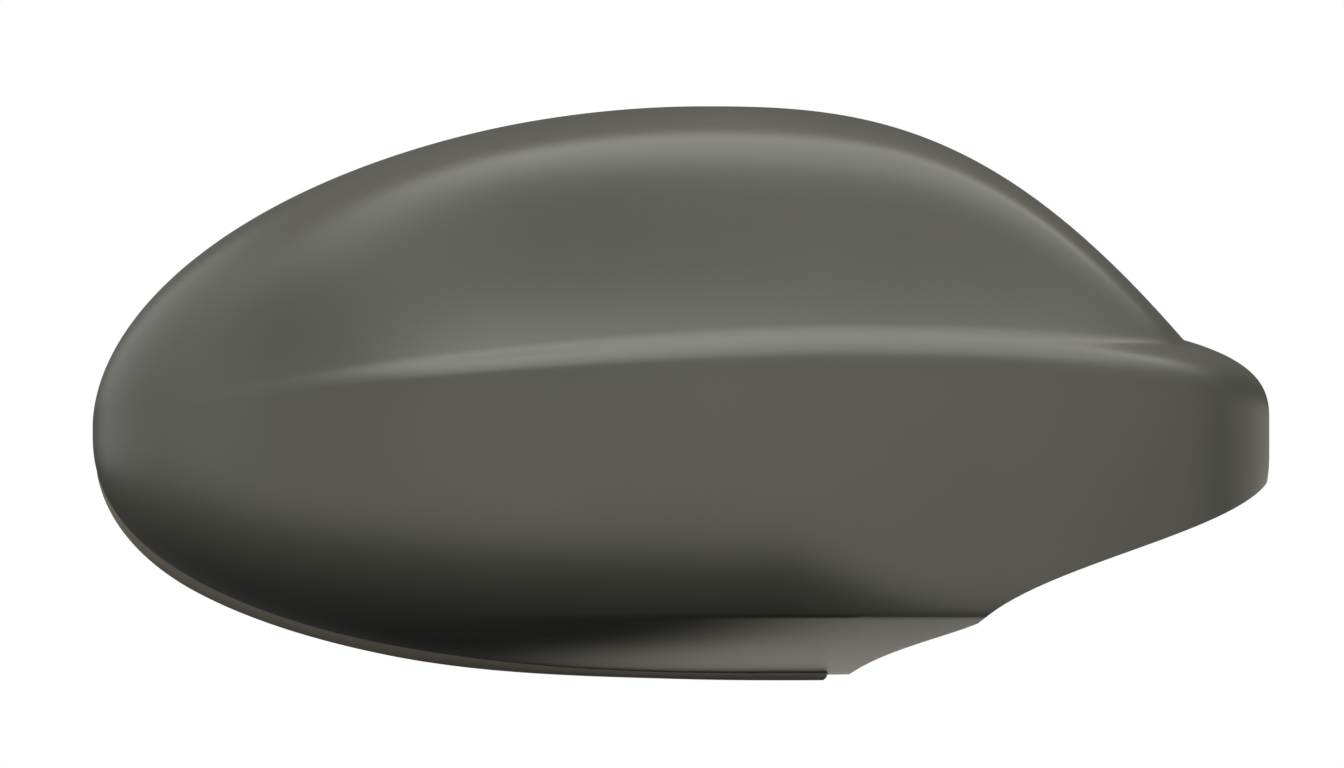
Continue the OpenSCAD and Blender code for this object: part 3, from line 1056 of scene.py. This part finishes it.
class MIRROR_OT_stage(bpy.types.Operator):
    """Makes the pale floor, the lights and the camera"""

    bl_idname = "mirror.stage"
    bl_label = "Stage"

    def execute(self, context):
        self.make_floor(context)
        self.make_lights(context)
        self.make_camera(context)
        context.scene.view_settings.view_transform = "Standard"
        return {"FINISHED"}

    def seen(self, path):
        """1 where the camera looks, straight or through glass."""
        return (path.value("Is Camera Ray") + path.value("Is Transmission Ray")).clamped()

    def pale_floor(self, sizes):
        """A floor that the camera sees nearly white, with the cover's shadow in it."""
        material = bpy.data.materials.new("pale floor")
        material.use_nodes = True
        material.node_tree.nodes.clear()
        tree = Tree(material.node_tree)
        path = tree.node("ShaderNodeLightPath")
        seen = self.seen(path)
        x, y, _ = tree.split(tree.node("ShaderNodeNewGeometry").out("Position"))
        front = ease((-y - FRONT_START) / FRONT_RUN)
        behind = ease(y / BEHIND_RUN) * ease((x - INNER_START) / INNER_RUN)
        grey = lerp(FLOOR_DARK, FLOOR_PALE, seen)
        colour = tree.vector(grey, grey, grey)
        plain = tree.node("ShaderNodeBsdfDiffuse", None, {"Color": colour}).out()
        distance = (x * x * SHADOW_SHAPE + y * y) ** 0.5
        far = ease((distance - SHADOW_REACH) / SHADOW_RUN)
        lift = lerp(SHADOW_LIFT, 1, far)
        tint = tree.vector(*(lerp(channel, lift, seen) for channel in FLOOR_GLOSS))
        glow = tree.node("ShaderNodeEmission", None, {"Color": tint, "Strength": 1}).out()
        white = lerp(sizes.near_white, sizes.floor_white, far)
        gloss = path.value("Is Glossy Ray") * (front + behind) * GLOSS_SHARE
        mask = (seen * white + gloss).clamped()
        mixed = tree.node("ShaderNodeMixShader", None, {0: mask, 1: plain, 2: glow}).out()
        tree.node("ShaderNodeOutputMaterial", None, {"Surface": mixed})
        return material

    def make_floor(self, context):
        sizes = context.scene.stage_sizes
        low = cad_box[0][2] - sizes.floor_drop
        mesh = bpy.data.meshes.new("floor")
        corners = [
            (x * FLOOR_REACH, y * FLOOR_REACH, low) for x, y in ((-1, -1), (1, -1), (1, 1), (-1, 1))
        ]
        mesh.from_pydata(corners, [], [(0, 1, 2, 3)])
        mesh.materials.append(self.pale_floor(sizes))
        floor = bpy.data.objects.new("floor", mesh)
        context.collection.objects.link(floor)
        world = bpy.data.worlds.new("studio")
        world.use_nodes = True
        world.node_tree.nodes.clear()
        tree = Tree(world.node_tree)
        seen = self.seen(tree.node("ShaderNodeLightPath"))
        sockets = {"Color": (1, 1, 1, 1), "Strength": lerp(sizes.ambient, 1, seen)}
        shade = tree.node("ShaderNodeBackground", None, sockets).out()
        tree.node("ShaderNodeOutputWorld", None, {"Surface": shade})
        context.scene.world = world

    def make_lights(self, context):
        sizes = context.scene.stage_sizes
        for name, place, width, height, power, share, colour in LAMPS:
            lamp = bpy.data.lights.new(name, "AREA")
            lamp.shape = "RECTANGLE"
            lamp.size = width
            lamp.size_y = height
            lamp.energy = getattr(sizes, power) * share
            lamp.color = colour
            light = bpy.data.objects.new(name, lamp)
            light.location = place
            light.rotation_euler = light.location.to_track_quat("Z", "Y").to_euler()
            context.collection.objects.link(light)

    def make_camera(self, context):
        data = bpy.data.cameras.new("camera")
        data.sensor_fit = "HORIZONTAL"
        data.sensor_width = SENSOR_WIDTH
        data.lens = SENSOR_WIDTH * CAMERA_DISTANCE / FIELD_WIDTH
        data.clip_end = CAMERA_FAR
        camera = bpy.data.objects.new("camera", data)
        x, y, z = FIELD_MIDDLE
        camera.location = (x, y - CAMERA_DISTANCE, z)
        camera.rotation_euler = (math.radians(90), 0, 0)
        context.collection.objects.link(camera)
        context.scene.camera = camera


class MIRROR_PT_panel(bpy.types.Panel):
    """Lists the cover's sizes, colours and operators."""

    bl_label = "Wing Mirror Cover"
    bl_space_type = "VIEW_3D"
    bl_region_type = "UI"
    bl_category = "Mirror Cover"

    def draw(self, context):
        layout = self.layout
        for group in (
            context.scene.cover_sizes,
            context.scene.cover_colours,
            context.scene.stage_sizes,
        ):
            box = layout.box()
            for key in type(group).__annotations__:
                box.prop(group, key)
        layout.operator("mirror.cover")
        layout.operator("mirror.stage")


CLASSES = (
    CoverSizes,
    CoverColours,
    StageSizes,
    MIRROR_OT_cover,
    MIRROR_OT_stage,
    MIRROR_PT_panel,
)
GROUPS = {"cover_sizes": CoverSizes, "cover_colours": CoverColours, "stage_sizes": StageSizes}


def register():
    for cls in CLASSES:
        bpy.utils.register_class(cls)
    for name, group in GROUPS.items():
        setattr(bpy.types.Scene, name, bpy.props.PointerProperty(type=group))


def unregister():
    for name in GROUPS:
        delattr(bpy.types.Scene, name)
    for cls in reversed(CLASSES):
        bpy.utils.unregister_class(cls)


def main():
    register()
    bpy.ops.mirror.stage()
    bpy.ops.mirror.cover()


if __name__ == "__main__":
    main()
